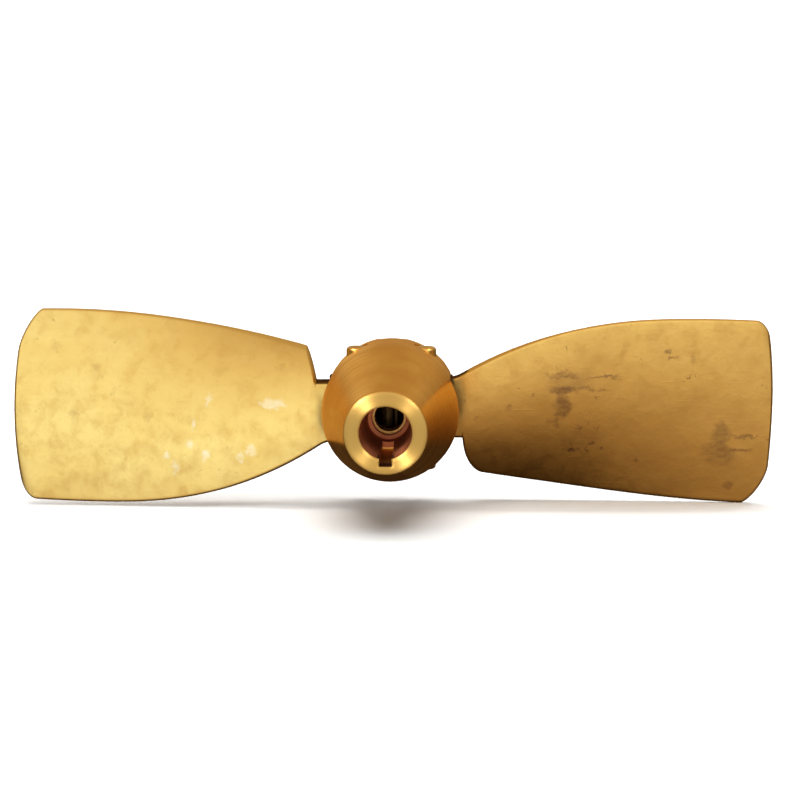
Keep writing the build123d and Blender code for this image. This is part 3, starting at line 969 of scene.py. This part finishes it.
def make_world():
    """Soft warm room that the metal reflects: bright ahead, dimmer above and to the sides, dark below."""
    world = bpy.data.worlds.new("studio")
    bpy.context.scene.world = world
    world.use_nodes = True
    world.cycles_visibility.diffuse = False
    tree = world.node_tree
    tree.nodes.clear()
    place = tree.nodes.new("ShaderNodeTexCoord")
    split = tree.nodes.new("ShaderNodeSeparateXYZ")
    tree.links.new(place.outputs["Generated"], split.inputs["Vector"])
    height = tree.nodes.new("ShaderNodeMapRange")
    height.inputs["From Min"].default_value = -1.0
    tree.links.new(split.outputs["Z"], height.inputs["Value"])
    aside = tree.nodes.new("ShaderNodeMath")
    aside.operation = "ABSOLUTE"
    tree.links.new(split.outputs["X"], aside.inputs[0])
    ahead, beside, behind = (
        height_ramp(tree, height.outputs["Result"], stops) for stops in (FRONT_ROOM, SIDE_ROOM, BACK_ROOM)
    )
    to_side = world_share(tree, aside.outputs["Value"], SIDE_FROM, SIDE_TO)
    to_back = world_share(tree, split.outputs["Y"], BEHIND_FROM, BEHIND_TO)
    room = world_mix(tree, to_side, world_mix(tree, to_back, ahead, behind), beside)
    sky = tree.nodes.new("ShaderNodeBackground")
    sky.inputs["Strength"].default_value = ROOM_STRENGTH
    tree.links.new(room, sky.inputs["Color"])
    out = tree.nodes.new("ShaderNodeOutputWorld")
    tree.links.new(sky.outputs["Background"], out.inputs["Surface"])


def make_lights():
    """Two softboxes for every part but the blades, and two fills that don't show in the metal."""
    turned = bpy.data.collections.new("turned_parts")
    for row in frame["record"]["subparts"]:
        if row["material_slot"] != "bronze_cast":
            turned.objects.link(frame["nodes"][row["node"]])
    softbox("key_left", (-1.3, -1.2, 1.3), (0.7, 0.6), 40, turned)
    softbox("key_right", (1.4, -1.2, 1.3), (0.6, 0.6), 15, turned)
    softbox("room_fill", (0.0, -0.2, 2.6), (3.0, 3.0), 95, None, WHITE, in_metal=False)
    softbox("wall_fill", (0.0, 0.4, 2.2), (3.0, 1.0), 78, None, WHITE, in_metal=False, target=(0, 3.5, 0.6))
    bpy.context.scene.view_settings.view_transform = "Standard"


CAMERA_AZIMUTH = radians(1.71)
CAMERA_ELEVATION = radians(8.24)
CAMERA_DISTANCE = 1.0133
CAMERA_TARGET = Vector((4.36, PIN_Y, 3.87)) * MM
CAMERA_FOCAL_WIDTHS = 2.519
SENSOR = 36.0


def make_camera():
    """Camera at the viewing angle of a long lens, a little above the shaft."""
    data = bpy.data.cameras.new("camera")
    data.sensor_width = SENSOR
    data.lens = CAMERA_FOCAL_WIDTHS * SENSOR
    camera = bpy.data.objects.new("camera", data)
    bpy.context.scene.collection.objects.link(camera)
    flat = cos(CAMERA_ELEVATION)
    direction = Vector((sin(CAMERA_AZIMUTH) * flat, -cos(CAMERA_AZIMUTH) * flat, sin(CAMERA_ELEVATION)))
    aim(camera, CAMERA_TARGET + direction * CAMERA_DISTANCE, CAMERA_TARGET)
    bpy.context.scene.camera = camera


# ------------------------------------------------------------------ the two blades

# The two castings were ground by hand, so each has its own corners, heel, neck and bend, in millimetres.
# A corner is its span, height and power. A heel is its foot, span and power. The trailing edge is its drop
# at the root, the radii where it starts and where it is full, and its power. The tip bends towards the
# trailing and the leading side. Teeth are the directions of their middles from the pivot.


def right_blade():
    return {
        "node": "blade_right",
        "body": "right_blade",
        "half_turn": False,
        "teeth": [pi - TOOTH_STEP * index for index in range(4)],
        "leading_corner": (6.0, 9.0, 2.0),
        "trailing": (14.9, 43.5, 180.0, 1.5),
        "trailing_corner": (11.5, 20.0, 1.5),
        "heel": (35.9, 10.0, 2.0),
        "neck_half": 15.2,
        "leading_trim": 1.0,
        "tip_bend": (0.3, 0.7),
        "seed": 3.0,
        "material": blade_bronze("bronze_right", (GOLD, GOLD_DULL, GOLD_DEEP), 11.0, 0.36, 1.4, RIGHT_SMEARS),
    }


def left_blade():
    tone = (GOLD_LIGHT, GOLD_MID, GOLD_DEEP)
    return {
        "node": "blade_left",
        "body": "left_blade",
        "half_turn": True,
        "teeth": [pi + TOOTH_STEP / 2 - TOOTH_STEP * index for index in range(5)],
        "leading_corner": (6.5, 13.0, 2.3),
        "trailing": (18.5, 43.5, 175.0, 1.9),
        "trailing_corner": (8.5, 20.5, 1.5),
        "heel": (37.8, 5.2, 1.25),
        "neck_half": 13.9,
        "leading_trim": 0.0,
        "tip_bend": (0.85, 0.9),
        "seed": 8.0,
        "material": blade_bronze("bronze_left", tone, 29.0, 0.34, 0.8, LEFT_SMEARS, GLINTS),
    }


# ------------------------------------------------------------------ the scene

make_camera()
dress_cad_nodes()
make_blade("blade_right_ground", right_blade())
make_blade("blade_left_ground", left_blade())
make_floor()
make_world()
make_lights()
